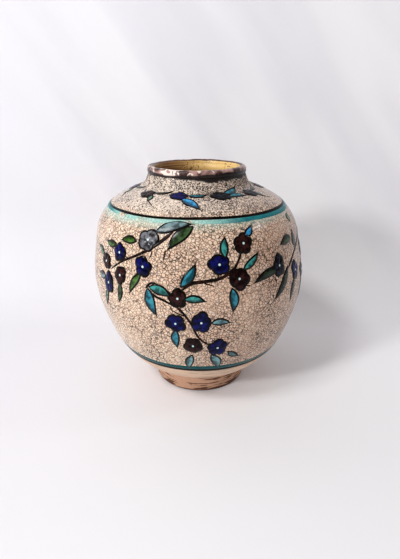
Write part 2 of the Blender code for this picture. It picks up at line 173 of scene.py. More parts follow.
# The sides of each lamp and its place from the middle of the vase
VASE_MIDDLE = (0, 0, 0.1)
LAMPS = {
    "window": ((0.2, 0.2), (-1.16, -1, 0.68)),
    "high": ((0.35, 0.27), (-0.72, -0.72, 1.23)),
    "glint": ((0.1, 0.06), (0.612, -0.0856, 0.5088)),
}


def length(name, description, default):
    return FloatProperty(name=name, description=description, default=default, unit="LENGTH", precision=5)


def watts(name, description, default):
    return FloatProperty(name=name, description=description, default=default, unit="POWER")


def colour(name, description, default):
    return FloatVectorProperty(
        name=name, description=description, default=default, size=3, subtype="COLOR", min=0, max=1
    )


class VaseSizes(bpy.types.PropertyGroup):
    """Sizes of the vase."""

    wall_radii: FloatVectorProperty(
        name="Wall radii",
        description="Radius of the outer wall at each station, from the foot to the neck's root",
        size=10,
        default=(0.0495, 0.068, 0.0815, 0.092, 0.1, 0.0956, 0.0908, 0.079, 0.0576, 0.0486),
        unit="LENGTH",
    )
    wall_heights: FloatVectorProperty(
        name="Wall heights",
        description="Height of each of those stations above the table",
        size=10,
        default=(0.018, 0.0325, 0.05, 0.074, 0.114, 0.148, 0.168, 0.1836, 0.1952, 0.199),
        unit="LENGTH",
    )
    wall: length("Wall", "Thickness of the wall", 0.0055)
    floor: length("Floor", "Height of the floor inside", 0.0245)
    belly_height: length("Belly height", "Height of the widest place", 0.114)
    neck_radius: length("Neck radius", "Radius of the neck under the lip", 0.0444)
    neck_height: length("Neck height", "Height of the neck's top", 0.2076)
    lip_top: length("Lip top", "Height of the lip", 0.2151)
    lip_roll: length("Lip roll", "How far the lip stands out past the neck", 0.0005)
    foot_radius: length("Foot radius", "Radius of the foot at the table", 0.046)
    foot_top_radius: length("Foot top radius", "Radius of the foot where it meets the ball", 0.0486)
    foot_width: length("Foot width", "Width of the foot's ring", 0.01)
    foot_height: length("Foot height", "Height of the foot", 0.018)
    shoulder_line: length("Shoulder line", "Width of the dark line on the shoulder", 0.0024)
    shoulder_band: length("Shoulder band", "Width of the band under the shoulder line", 0.0036)
    foot_line_width: length("Foot line width", "Width of the dark line above the foot", 0.0036)
    foot_band: length("Foot band", "Width of the band above the foot line", 0.0052)
    foot_line: length("Foot line", "Distance of the foot line up the wall", 0.0432)
    band_lift: length("Band lift", "Thickness of the enamel in lines and bands", 0.00025)
    stroke_lift: length("Stroke lift", "Thickness of the enamel in stems and leaves", 0.0004)
    petal_lift: length("Petal lift", "Thickness of the enamel in the blossoms", 0.0008)
    bury: length("Bury", "How far enamel reaches into the glaze", 0.0004)
    lean: length("Lean", "How far the hand-thrown ball leans to the right at its foot", 0.003)
    cell: length("Crackle cell", "Width of a cell of the crackle", 0.0025)
    segments: IntProperty(name="Segments", description="Steps round the turned pieces", default=224, min=24)


class VaseColours(bpy.types.PropertyGroup):
    """Colours of clay, glaze and enamel."""

    cream: colour("Cream", "The glaze where it is clean", (0.86, 0.65, 0.475))
    ivory: colour("Ivory", "The glaze on the shoulder and the neck", (0.81, 0.71, 0.61))
    # Tan also carries painted shade: the right side of the ball is painted tanner.
    tan: colour("Tan", "The glaze where it is stained", (0.56, 0.325, 0.225))
    crack: colour("Crack", "Stain in the cracks", (0.035, 0.014, 0.008))
    speck: colour("Speck", "Specks in the glaze", (0.02, 0.012, 0.009))
    lining: colour("Lining", "The glaze inside", (0.84, 0.56, 0.21))
    # The dark lining is partly stain and mostly painted shade, on the left and deep inside.
    lining_dark: colour("Dark lining", "The glaze inside where it is stained", (0.26, 0.12, 0.04))
    lip: colour("Lip", "The brown glaze on the lip", (0.045, 0.017, 0.014))
    lip_thin: colour("Thin lip", "The lip where the glaze is thin", (0.4, 0.235, 0.2))
    # This pale colour is real wear, and on the front left also a painted highlight.
    lip_wear_and_highlight: colour("Worn lip", "The lip where the glaze has worn off", (0.84, 0.7, 0.62))
    # The black under the lip is partly dark glaze and partly painted shade.
    lip_black_and_shade: colour("Soot", "The black edge under the lip", (0.008, 0.004, 0.003))
    clay: colour("Clay", "The bare clay of the foot", (0.55, 0.325, 0.215))
    clay_dark: colour("Dark clay", "Stain on the bare clay", (0.075, 0.026, 0.013))
    line: colour("Line", "The brown-black of lines and outlines", (0.004, 0.003, 0.002))
    stem: colour("Stem", "The brown of thin stems", (0.028, 0.009, 0.006))
    turquoise: colour("Turquoise", "The bands", (0.01, 0.2, 0.215))
    deep: colour("Deep turquoise", "The band above the foot", (0.001, 0.05, 0.056))
    mint: colour("Mint", "The bands where they are thin", (0.36, 0.62, 0.55))
    eye: colour("Eye", "The dot in a blossom", (0.56, 0.74, 0.72))
    cobalt: colour("Cobalt", "Blue blossoms", (0.0028, 0.0036, 0.05))
    plum: colour("Plum", "Purple-brown blossoms", (0.017, 0.005, 0.0048))
    # This grey is a painted highlight: a plum blossom painted as if the window's reflection lay on it.
    ash: colour("Ash", "Blossoms with thin enamel", (0.085, 0.085, 0.095))
    ink: colour("Ink", "Blossoms with dark enamel", (0.01, 0.011, 0.018))
    teal: colour("Teal", "Blue-green leaves", (0.01, 0.105, 0.145))
    sky: colour("Sky", "Bright blue leaves", (0.01, 0.13, 0.27))
    sea: colour("Sea", "Sea-green leaves", (0.016, 0.125, 0.115))
    mist: colour("Mist", "Pale blue leaves", (0.085, 0.175, 0.19))
    green: colour("Green", "Green leaves", (0.028, 0.068, 0.01))
    moss: colour("Moss", "Dark green leaves", (0.015, 0.034, 0.009))
    sage: colour("Sage", "Grey-green leaves", (0.065, 0.115, 0.08))
    slate: colour("Slate", "Grey-blue leaves", (0.075, 0.115, 0.125))
    dusk: colour("Dusk", "Grey-black leaves", (0.008, 0.014, 0.007))


class StageSettings(bpy.types.PropertyGroup):
    """The floor, the backdrop, the lights and the camera."""

    camera_place: FloatVectorProperty(
        name="Camera",
        description="Where the camera stands",
        size=3,
        default=(0.00297, -0.3925, 0.2622),
        unit="LENGTH",
        subtype="TRANSLATION",
    )
    camera_pitch: FloatProperty(
        name="Pitch",
        description="How far the camera looks down",
        default=math.radians(22.236),
        subtype="ANGLE",
    )
    camera_lens: FloatProperty(
        name="Lens", description="Focal length in millimetres", default=27.05, unit="CAMERA"
    )
    cloth_reach: length("Cloth reach", "How far the cloth runs to the front, and how high it hangs", 1.6)
    cloth_width: length("Cloth width", "Width of the cloth and of the table under it", 4)
    backdrop: length("Backdrop", "How far behind the vase the backdrop rises", 0.21)
    bend: length("Bend", "Radius of the bend between floor and backdrop", 0.13)
    cloth: colour("Cloth", "Floor and backdrop", (0.82, 0.81, 0.825))
    cloth_shade: colour("Shaded cloth", "Floor and backdrop in places", (0.735, 0.725, 0.76))
    window_power: watts("Window", "Power of the low window light on the left", 14.5)
    high_power: watts("High", "Power of the light high on the left", 9.5)
    glint_power: watts("Glint", "Power of the small light on the right", 0.5)
    sky_power: FloatProperty(name="Sky", description="Strength of the light from all round", default=0.355)


def settings():
    """The sizes and colours that are set for the vase."""
    scene = bpy.context.scene
    return scene.vase_sizes, scene.vase_colours


class Wire:
    """One output of a node. Sums and products of wires are nodes as well."""

    def __init__(self, tree, socket):
        self.tree = tree
        self.socket = socket

    def node(self, kind, settings, inputs, output=0):
        made = self.tree.nodes.new(kind)
        for name, value in settings.items():
            setattr(made, name, value)
        for key, value in inputs.items():
            if isinstance(value, Wire):
                self.tree.links.new(value.socket, made.inputs[key])
            else:
                made.inputs[key].default_value = value
        return Wire(self.tree, made.outputs[output])

    def math(self, operation, first, second):
        return self.node("ShaderNodeMath", {"operation": operation}, {0: first, 1: second})

    def __add__(self, other):
        return self.math("ADD", self, other)

    def __sub__(self, other):
        return self.math("SUBTRACT", self, other)

    def __rsub__(self, other):
        return self.math("SUBTRACT", other, self)

    def __mul__(self, other):
        return self.math("MULTIPLY", self, other)

    def __or__(self, other):
        return self.math("MAXIMUM", self, other)

    __radd__ = __add__
    __rmul__ = __mul__
    __ror__ = __or__

    def ramp(self, low, high):
        """A soft step from 0 at the low value to 1 at the high one."""
        inputs = {"Value": self, "From Min": low, "From Max": high}
        return self.node("ShaderNodeMapRange", {"interpolation_type": "SMOOTHSTEP"}, inputs)

    def mix(self, first, second):
        """Blends two colours, by this wire from 0 to 1."""
        first, second = (end if isinstance(end, Wire) else (*end, 1) for end in (first, second))
        return self.node("ShaderNodeMix", {"data_type": "RGBA"}, {0: self, 6: first, 7: second}, 2)

    def vector(self, operation, *parts):
        return self.node("ShaderNodeVectorMath", {"operation": operation}, dict(enumerate(parts)))

    def axis(self, name):
        return self.node("ShaderNodeSeparateXYZ", {}, {0: self}, name)

    def noise(self, scale, detail, output="Fac"):
        inputs = {"Vector": self, "Scale": scale, "Detail": detail}
        return self.node("ShaderNodeTexNoise", {}, inputs, output)

    def cells(self, scale, feature, output):
        inputs = {"Vector": self, "Scale": scale}
        return self.node("ShaderNodeTexVoronoi", {"feature": feature}, inputs, output)

    def attribute(self, name, output="Fac"):
        return self.node("ShaderNodeAttribute", {"attribute_name": name}, {}, output)

    def bump(self, strength, distance):
        return self.node("ShaderNodeBump", {}, {"Strength": strength, "Distance": distance, "Height": self})


def new_material(name):
    """A material's place in the object's own space, and the function that finishes its shader."""
    material = bpy.data.materials.new(name)
    material.use_nodes = True
    tree = material.node_tree
    shader = tree.nodes["Principled BSDF"]
    place = Wire(tree, tree.nodes.new("ShaderNodeTexCoord").outputs["Object"])

    def finish(base, rough, bumps, gloss):
        values = {"Base Color": base, "Roughness": rough, "Normal": bumps, "Specular IOR Level": gloss}
        for key, value in values.items():
            if isinstance(value, Wire):
                tree.links.new(value.socket, shader.inputs[key])
            else:
                shader.inputs[key].default_value = value
        return material

    return place, finish


def crackle(place):
    """The crackled glaze: its colour, with painted shade on the right and painted light low down, and how
    deep in a crack each place is.
    """
    sizes, colours = settings()
    drift = place.noise(160, 2, "Color")
    spot = place.vector("MULTIPLY_ADD", drift, (2 * MM,) * 3, place)
    scale = 1 / sizes.cell
    edges = spot.cells(scale, "DISTANCE_TO_EDGE", "Distance")
    strength = place.noise(34, 3).ramp(0.28, 0.66)
    fine = edges.ramp(0.115, 0.045) * (0.62 + 0.36 * strength)
    wide = spot.cells(scale * 0.3, "DISTANCE_TO_EDGE", "Distance").ramp(0.040, 0.012)
    tone = spot.cells(scale, "F1", "Color").axis("X")
    cracks = fine | (wide * 0.6)
    # Painted shade: the right side of the ball is painted tanner and darker.
    right = place.axis("X").ramp(-70 * MM, 80 * MM)
    # Painted light: the glaze is painted paler towards the bottom.
    low = place.axis("Z").ramp(100 * MM, 50 * MM)
    stain = place.noise(15, 4).ramp(0.38, 0.72)
    # The mix towards tan is real stain, plus the painted shade on the right, less the painted light low
    # down.
    stain_shade_and_light = stain * 0.34 + right * 0.46 - low * 0.15
    base = stain_shade_and_light.mix(colours.cream, colours.tan)
    base = (tone.ramp(0.4, 0.0) * 0.4).mix(base, colours.tan)
    base = (tone.ramp(0.6, 1.0) * 0.3).mix(base, colours.ivory)
    return cracks.mix(base, colours.crack), cracks


def specks(place, base, amount):
    """Pepper specks in the glaze, as thick as the amount from 0 to 1."""
    _, colours = settings()
    drift = place.noise(300, 2, "Color")
    near = place.vector("MULTIPLY_ADD", drift, (2 * MM,) * 3, place)
    spot = near.cells(SPECKS_PER_METRE, "F1", "Distance").ramp(0.70, 0.46)
    chosen = near.cells(SPECKS_PER_METRE, "F1", "Color").axis("Y")
    cloud = place.noise(60, 3)
    dark = spot * (chosen * 0.7 + cloud * 0.8 + amount).ramp(1.05, 1.3)
    return dark.mix(base, colours.speck)


def washes(place, base):
    """Turquoise that bled out under the shoulder line, and the black under the lip: partly dark glaze that
    ran down, partly painted shade, reaching lower on the right.
    """
    sizes, colours = settings()
    over_line = place.axis("Z") - sizes.wall_heights[SHOULDER_STATION]
    over_neck = place.axis("Z") - sizes.neck_height
    across = place.axis("X")
    cloud = place.noise(55, 3)
    bleed = over_line.ramp(-10.1 * MM, -1.6 * MM) * over_line.ramp(0.9 * MM, -0.6 * MM)
    bleed = bleed * (cloud * 0.9 + across.ramp(50 * MM, -60 * MM) * 0.35)
    base = (bleed * 0.75).mix(base, colours.mint)
    # Black under the lip: partly dark glaze running down the neck, partly painted shade under the lip that
    # reaches lower on the right.
    runs = place.noise(130, 3) * (6 * MM) + cloud * (3 * MM)
    runs = runs + across.ramp(-30 * MM, 12 * MM) * (2.2 * MM)
    return (over_neck + runs).ramp(4.5 * MM, 6 * MM).mix(base, colours.lip_black_and_shade)


def clay(place):
    """Bare clay: its colour, with brown streaks along the turning, and its grain."""
    _, colours = settings()
    height = place.axis("Z")
    grain = place.noise(900, 3)
    cloud = place.noise(40, 4)
    streak = place.vector("MULTIPLY", place, (1, 1, 9)).noise(48, 4)
    uneven = cloud * (6 * MM) - place.axis("X").ramp(-30 * MM, 30 * MM) * (2 * MM)
    edge = (height + uneven).ramp(4.8 * MM, 3.4 * MM)
    stain = (streak + cloud * 0.3).ramp(0.69, 0.73) | edge
    base = (cloud.ramp(0.4, 0.7) * 0.3).mix(colours.clay, colours.tan)
    base = (grain.ramp(0.5, 0.75) * 0.25).mix(base, colours.clay_dark)
    return (stain * 0.9).mix(base, colours.clay_dark), grain


def ball_glaze():
    """Crackle on the ball, whiter and peppered on the shoulder and the neck, with painted shade on the
    right of the shoulder, and bare clay below, painted paler towards its top partly as painted light.
    """
    place, finish = new_material("Crackle glaze")
    sizes, colours = settings()
    height = place.axis("Z")
    right = place.axis("X").ramp(-20 * MM, 60 * MM)
    base, cracks = crackle(place)
    shoulder = (height - sizes.wall_heights[SHOULDER_STATION]).ramp(-1.6 * MM, 6.4 * MM)
    neck = (height - sizes.wall_heights[ROOT_STATION]).ramp(-5 * MM, 3 * MM)
    # Painted shade: less of the whiter ivory on the right of the shoulder.
    base = (shoulder * (0.50 - right * 0.30)).mix(base, colours.ivory)
    patches = place.noise(17, 4).ramp(0.5, 0.72)
    base = specks(place, base, patches * 0.2 + shoulder * (0.25 + right * 0.03) + neck * 0.22 + 0.08)
    base = washes(place, base)
    foot_line = Wall(sizes).at(sizes.foot_line, 0)[0, 1]
    bare = (height - foot_line + place.noise(80, 2) * MM).ramp(2.1 * MM, 1.1 * MM)
    earth, grain = clay(place)
    # The bare clay turns paler, towards cream, up towards the foot line: partly a thin wash of glaze,
    # partly painted light on the rim under the bulge.
    thin = (height - sizes.foot_height).ramp(0, 14 * MM) * 0.55
    base = bare.mix(base, thin.mix(earth, colours.cream))
    rough = 0.10 + place.noise(50, 2) * 0.16 + (neck | bare) * 0.4
    relief = place.noise(70, 2) * 0.6 - cracks * (0.4 - bare * 0.4) + grain * bare * 0.4
    return finish(base, rough, relief.bump(0.3, 0.4 * MM), 0.32)


def inner_glaze(place):
    """The ochre glaze inside, with painted shade on the left and deeper down."""
    sizes, colours = settings()
    cloud = place.noise(40, 4)
    left = (place.axis("X") + cloud * (16 * MM)).ramp(30 * MM, -22 * MM)
    root = sizes.wall_heights[ROOT_STATION]
    # Painted shade: the lining is painted darker deeper inside the neck.
    deep = place.axis("Z").ramp(root - 9 * MM, sizes.belly_height + 6 * MM)
    shade = cloud.ramp(0.4, 0.7) * 0.25 + deep * 0.4 + left * 0.9
    return specks(place, shade.mix(colours.lining, colours.lining_dark), cloud * 0.25), cloud


def lining_glaze():
    place, finish = new_material("Lining glaze")
    base, cloud = inner_glaze(place)
    return finish(base, 0.3 + cloud * 0.2, cloud.bump(0.2, 0.5 * MM), 0.3)


def lip_glaze():
    """Brown, worn through in patches, with a painted highlight on the front left, black along the lower
    edge partly as painted shade under the roll, and ochre on the inner side.
    """
    place, finish = new_material("Lip glaze")
    sizes, colours = settings()
    over_neck = place.axis("Z") - sizes.neck_height
    across = place.axis("X")
    flat = place.vector("MULTIPLY", place, (1, 1, 0))
    radius = flat.node("ShaderNodeVectorMath", {"operation": "LENGTH"}, {0: flat}, "Value")
    past_mouth = radius - (sizes.neck_radius - sizes.wall)
    cloud = place.noise(75, 4)
    fine = place.noise(260, 3)
    # The front left gets more and paler worn patches as a painted highlight, and a thinner band of painted
    # shade under the roll.
    left = across.ramp(20 * MM, -10 * MM) * across.ramp(-42 * MM, -30 * MM)
    outer = (past_mouth + cloud * MM).ramp(1.9 * MM, 3.1 * MM)
    # The worn patches are real wear; the extra ones on the front left are a painted highlight.
    worn = (cloud * 0.50 + fine * 0.50 + left * 0.05).ramp(0.54, 0.58) * outer
    base = (place.noise(85, 3).ramp(0.44, 0.60) * outer).mix(colours.lip, colours.lip_thin)
    base = (worn * (0.65 + left * 0.35)).mix(base, colours.lip_wear_and_highlight)
    # Black along the lower edge: partly dark glaze, partly painted shade under the roll, thinner on the
    # front left.
    edge = (over_neck + cloud * (3 * MM) + left * (1.4 * MM)).ramp(6.5 * MM, 5.4 * MM)
    base = (edge * 0.97).mix(base, colours.lip_black_and_shade)
    inner, _ = inner_glaze(place)
    base = (past_mouth + cloud * (1.2 * MM)).ramp(1.3 * MM, 0.7 * MM).mix(base, inner)
    relief = cloud + worn * 0.5
    return finish(base, 0.3 + worn * 0.3, relief.bump(0.35, 0.6 * MM), 0.25)


def foot_clay():
    place, finish = new_material("Bare clay")
    base, grain = clay(place)
    return finish(base, 0.75 + grain * 0.2, grain.bump(0.5, 0.4 * MM), 0.1)


def band_enamel():
    """Turquoise that fades to mint, and to bare glaze where the brush ran dry."""
    place, finish = new_material("Turquoise band")
    _, colours = settings()
    glaze, cracks = crackle(place)
    cloud = place.noise(38, 3)
    across = place.axis("X")
    upper = place.axis("Z").ramp(100 * MM, 150 * MM)
    strong_above = across.ramp(-5 * MM, 60 * MM) | across.ramp(-60 * MM, -78 * MM)
    strong_below = across.ramp(70 * MM, -10 * MM)
    strong = upper * strong_above + (1 - upper) * strong_below
    depth = (strong * 0.75 + cloud * 0.5).ramp(0.2, 0.9)
    base = depth.mix(colours.mint, colours.turquoise)
    base = (place.noise(120, 2).ramp(0.4, 0.7) * depth * 0.5).mix(base, colours.teal)
    bare = (cloud + strong * 0.5).ramp(0.52, 0.36)
    base = bare.mix(base, glaze)
    base = (cracks * 0.35).mix(base, colours.crack)
    base = ((1 - upper) * 0.85).mix(base, colours.deep)
    return finish(base, 0.14 + bare * 0.15, cloud.bump(0.2, 0.3 * MM), 0.05)


def line_enamel():
    place, finish = new_material("Brown-black line")
    _, colours = settings()
    cloud = place.noise(60, 3)
    base = cloud.ramp(0.55, 0.85).mix(colours.line, colours.stem)
    left = place.axis("X").ramp(-55 * MM, -85 * MM) * cloud.ramp(0.3, 0.6)
    base = (left * 0.6).mix(base, colours.turquoise)
    return finish(base, 0.16 + cloud * 0.1, cloud.bump(0.2, 0.3 * MM), 0.03)


def stem_enamel():
    place, finish = new_material("Stem enamel")
    _, colours = settings()
    cloud = place.noise(180, 3)
    base = cloud.ramp(0.4, 0.7).mix(colours.line, colours.stem)
    return finish(base, 0.18 + cloud * 0.12, cloud.bump(0.2, 0.2 * MM), 0.06)


def leaf_enamel():
    """Leaves filled thin and thick inside a brown-black outline."""
    place, finish = new_material("Leaf enamel")
    _, colours = settings()
    fill = place.attribute("enamel", "Color")
    side, along, rim = map(place.attribute, ("side", "along", "rim"))
    cloud = place.noise(260, 3)
    thin = (cloud * 0.9 + side * 0.24 + along.ramp(0.9, 0.1) * 0.12).ramp(0.38, 0.70)
    pale = place.vector("MULTIPLY_ADD", fill, (2.2,) * 3, (0.012, 0.016, 0.012))
    dark = place.vector("MULTIPLY", fill, (0.45,) * 3)
    base = thin.mix(dark, pale)
    outline = (rim + cloud * 0.4).ramp(2.0, 1.65)
    base = outline.mix(base, colours.line)
    return finish(base, 0.13 + cloud * 0.1, (cloud * 0.5).bump(0.2, 0.3 * MM), 0.18)


def petal_enamel():
    """Blossoms with dark edges and creases and a pale dot in the middle."""
    place, finish = new_material("Petal enamel")
    _, colours = settings()
    fill = place.attribute("enamel", "Color")
    crease, middle, rim = map(place.attribute, ("side", "along", "rim"))
    cloud = place.noise(230, 3)
    bright = place.vector("MULTIPLY", fill, (1.9,) * 3)
    dark = place.vector("MULTIPLY", fill, (0.3,) * 3)
    base = cloud.ramp(0.40, 0.64).mix(dark, bright)
    shade = (rim + cloud * 0.5).ramp(2.3, 1.7) | (crease * 0.9)
    base = shade.mix(base, colours.line)
    dot = (middle + cloud * 0.4).ramp(1.3, 0.9)
    base = dot.mix(base, colours.eye)
    return finish(base, 0.1 + cloud * 0.08, (cloud * 0.5).bump(0.2, 0.3 * MM), 0.08)


def cloth():
    """Pale cloth with painted shade in soft slanting folds and on the left, seen only from its front."""
    place, finish = new_material("Pale cloth")
    stage = bpy.context.scene.vase_stage
    turn = {"Vector": place, "Angle": FOLD_SLANT}
    slant = place.node("ShaderNodeVectorRotate", {"rotation_type": "Y_AXIS"}, turn)
    folds = place.vector("MULTIPLY", slant, (7, 1.5, 1.5)).noise(1.6, 2)
    # Painted shade: the cloth is painted greyer on the left.
    left = place.axis("X").ramp(0, -300 * MM)
    hanging = place.axis("Z").ramp(0, 120 * MM)
    # Painted shade in the folds, on the hanging part only, and on the left.
    base = (folds.ramp(0.38, 0.66) * hanging | left).mix(stage.cloth, stage.cloth_shade)
    material = finish(base, 0.9, (folds * hanging).bump(0.35, 30 * MM), 0.1)
    tree = place.tree
    front = Wire(tree, tree.nodes["Principled BSDF"].outputs[0])
    behind = place.node("ShaderNodeNewGeometry", {}, {}, "Backfacing")
    clear = place.node("ShaderNodeBsdfTransparent", {}, {})
    both = place.node("ShaderNodeMixShader", {}, {0: behind, 1: front, 2: clear})
    tree.links.new(both.socket, tree.nodes["Material Output"].inputs["Surface"])
    return material


def smooth_outline(stations, longest):
    """Points of a smooth curve through the stations, no further apart than the longest step."""
    knots = [Vector(station) for station in stations]
    chords = [b - a for a, b in zip(knots, knots[1:])]
    ways = [a.normalized() * b.length + b.normalized() * a.length for a, b in zip(chords, chords[1:])]
    ways = [chords[0], *ways, chords[-1]]
    ways = [way.normalized() for way in ways]
    points = [knots[0]]
    for a, b, way_a, way_b in zip(knots, knots[1:], ways, ways[1:]):
        reach = (b - a).length / 3
        count = max(1, math.ceil((b - a).length / longest))
        points += interpolate_bezier(a, a + way_a * reach, b - way_b * reach, b, count + 1)[1:]
    return np.array([point[:2] for point in points])


def along_lengths(points):
    return np.concatenate([[0], np.cumsum(np.linalg.norm(np.diff(points, axis=0), axis=1))])


def between(reach, lengths, points):
    """Points read off a line of points at these lengths along it."""
    return np.column_stack([np.interp(reach, lengths, points[:, k]) for k in (0, 1)])


class Wall:
    """The outer wall up to the lip, measured by the distance up it from the foot."""

    def __init__(self, sizes):
        stations = [*zip(sizes.wall_radii, sizes.wall_heights), (sizes.neck_radius, sizes.neck_height)]
        self.points = smooth_outline(stations, 1.5 * MM)
        ways = np.gradient(self.points, axis=0)
        ways /= np.linalg.norm(ways, axis=1)[:, None]
        self.normals = np.column_stack([ways[:, 1], -ways[:, 0]])
        self.lengths = along_lengths(self.points)
        self.belly = max(sizes.wall_radii)

    def distance(self, height):
        return float(np.interp(height, self.points[:, 1], self.lengths))

    def at(self, distance, lift):
        """Radii and heights of the points that far up the wall, lifted off it."""
        place = between(distance, self.lengths, self.points)
        return place + between(distance, self.lengths, self.normals) * np.reshape(lift, (-1, 1))

    def wrap(self, flat, lift):
        """Points on the wall from flat ones: across at the belly, and up the wall."""
        radius, height = self.at(flat[:, 1], lift).T
        angle = flat[:, 0] / self.belly
        return np.column_stack([radius * np.sin(angle), -radius * np.cos(angle), height])


def start_fresh():
    if bpy.context.mode != "OBJECT":
        bpy.ops.object.mode_set(mode="OBJECT")
    bpy.ops.object.select_all(action="DESELECT")


def edit_all():
    """Opens the active mesh in edit mode with all of it selected."""
    bpy.ops.object.mode_set(mode="EDIT")
    bpy.ops.mesh.select_all(action="SELECT")


def coordinates(mesh):
    points = np.empty(len(mesh.vertices) * 3)
    mesh.vertices.foreach_get("co", points)
    return points.reshape(-1, 3)


def move_points(mesh, points):
    """Moves a mesh to these points with the ball's small lean: sideways, the more the lower they are."""
    sizes, _ = settings()
    share = np.clip((LEAN_TOP - points[:, 2]) / LEAN_DEPTH, 0, 1)
    points[:, 0] += sizes.lean * share**2 * (3 - 2 * share)
    mesh.vertices.foreach_set("co", points.ravel())
    mesh.update()


def hand_over(obj, nodes, slot):
    """Seats a finished piece in the frame in place of these nodes."""
    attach(obj, "root")
    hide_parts(*nodes)


def draw_outline(name, points, closed):
    """Draws a line of points in the plane of X and Z, each extruded from the one before it."""
    start_fresh()
    bpy.ops.mesh.primitive_plane_add(size=MM)
    obj = bpy.context.object
    obj.name = name
    obj.data.name = name
    edit_all()
    bpy.ops.mesh.merge(type="CENTER")
    path = [(0, 0), *points]
    if closed:
        path.append(points[0])
    steps = [(b[0] - a[0], 0, b[1] - a[1]) for a, b in zip(path, path[1:])]
    bpy.ops.transform.translate(value=steps[0])
    for step in steps[1:]:
        bpy.ops.mesh.extrude_vertices_move(TRANSFORM_OT_translate={"value": step})
    if closed:
        bpy.ops.mesh.select_all(action="SELECT")
        bpy.ops.mesh.remove_doubles(threshold=0.001 * MM)
    bpy.ops.object.mode_set(mode="OBJECT")
    return obj


def turned(name, points, closed, *materials):
    """A piece turned round the axis from its outline."""
    sizes = bpy.context.scene.vase_sizes
    obj = draw_outline(name, points, closed)
    bpy.ops.object.modifier_add(type="SCREW")
    turn = obj.modifiers[-1]
    turn.steps = sizes.segments
    turn.render_steps = sizes.segments
    turn.use_merge_vertices = True
    turn.merge_threshold = 0.001 * MM
    bpy.ops.object.modifier_apply(modifier=turn.name)
    edit_all()
    bpy.ops.mesh.normals_make_consistent(inside=False)
    bpy.ops.object.mode_set(mode="OBJECT")
    bpy.ops.object.shade_smooth()
    for material in materials:
        obj.data.materials.append(material)
    return obj


class VASE_OT_ball(bpy.types.Operator):
    """Turns the ball with its neck, its lining and its floor"""

    bl_idname = "vase.ball"
    bl_label = "Turn the ball"

    def execute(self, context):
        sizes = context.scene.vase_sizes
        wall = Wall(sizes)
        inner = wall.points - wall.normals * sizes.wall
        heights = inner[:, 1]
        inner = inner[(heights > sizes.floor + 1.5 * MM) & (heights < sizes.neck_height - MM)]
        floor_edge = sizes.wall_radii[0] - sizes.wall - 4 * MM
        mouth = sizes.neck_radius - sizes.wall - 0.6 * MM
        rim = (sizes.neck_height + sizes.lip_top) / 2
        outline = [(0, sizes.floor), (floor_edge, sizes.floor), *inner, (mouth, rim)]
        outline += [(sizes.neck_radius - 0.3 * MM, rim), *wall.points[::-1], (0, sizes.foot_height)]
        ball = turned("glazed_ball", outline, False, ball_glaze(), lining_glaze())
        for face in ball.data.polygons:
            middle = face.center
            outer = np.interp(middle.z, wall.points[:, 1], wall.points[:, 0])
            depth = outer - math.hypot(middle.x, middle.y)
            face.material_index = int(depth > sizes.wall * 0.6 and middle.z > sizes.foot_height + MM)
        move_points(ball.data, coordinates(ball.data))
        hand_over(ball, ("lower_bowl", "upper_bowl", "neck_collar"), "crackle_glaze")
        return {"FINISHED"}


class VASE_OT_lip(bpy.types.Operator):
    """Turns the rolled lip and wears it a little uneven"""

    bl_idname = "vase.lip"
    bl_label = "Roll the lip"

    def execute(self, context):
        sizes = context.scene.vase_sizes
        seat = 0.4 * MM
        inner = sizes.neck_radius - sizes.wall - seat
        outer = sizes.neck_radius + sizes.lip_roll
        low = sizes.neck_height - seat
        middle = np.array([(inner + outer) / 2, (low + sizes.lip_top) / 2])
        half = np.array([(outer - inner) / 2, (sizes.lip_top - low) / 2])
        outline = []
        for turn in np.radians(np.arange(0, 360, 12)):
            way = np.array([math.cos(turn), math.sin(turn)])
            outline.append(middle + half * np.sign(way) * np.abs(way) ** 0.8)
        lip = turned("worn_lip", outline, True, lip_glaze())
        points = coordinates(lip.data)
        angle = np.arctan2(points[:, 0], points[:, 1])
        share = (points[:, 2] - low) / (sizes.lip_top - low)
        waves = np.sin(3 * angle + 0.6) + 0.6 * np.sin(7 * angle) + 0.4 * np.sin(13 * angle + 2)
        points[:, 2] += 0.15 * MM * (waves - 2) * share
        points[:, :2] *= 1 + (0.004 * np.sin(2 * angle + 1) + 0.002 * np.sin(5 * angle))[:, None]
        move_points(lip.data, points)
        hand_over(lip, ("rolled_lip",), "rim_glaze")
        return {"FINISHED"}


class VASE_OT_foot(bpy.types.Operator):
    """Turns the bare clay foot"""

    bl_idname = "vase.foot"
    bl_label = "Turn the foot"

    def execute(self, context):
        sizes = context.scene.vase_sizes
        low, high = sizes.foot_radius, sizes.foot_top_radius
        inner = low - sizes.foot_width
        top = sizes.foot_height + 0.6 * MM
        edge = 0.9 * MM
        outline = [
            (inner, top),
            (high, top),
            (high - 0.1 * MM, top - 2.2 * MM),
            ((low + high) / 2, sizes.foot_height / 2),
            (low + 0.1 * MM, 2 * MM),
            (low - 0.2 * MM, edge),
            (low - edge, 0.15 * MM),
            (low - 2 * edge, 0),
            (inner + 2 * edge, 0),
            (inner + edge, 0.15 * MM),
            (inner, edge),
        ]
        foot = turned("clay_foot", outline, True, foot_clay())
        move_points(foot.data, coordinates(foot.data))
        hand_over(foot, ("foot_ring",), "bare_clay")
        return {"FINISHED"}


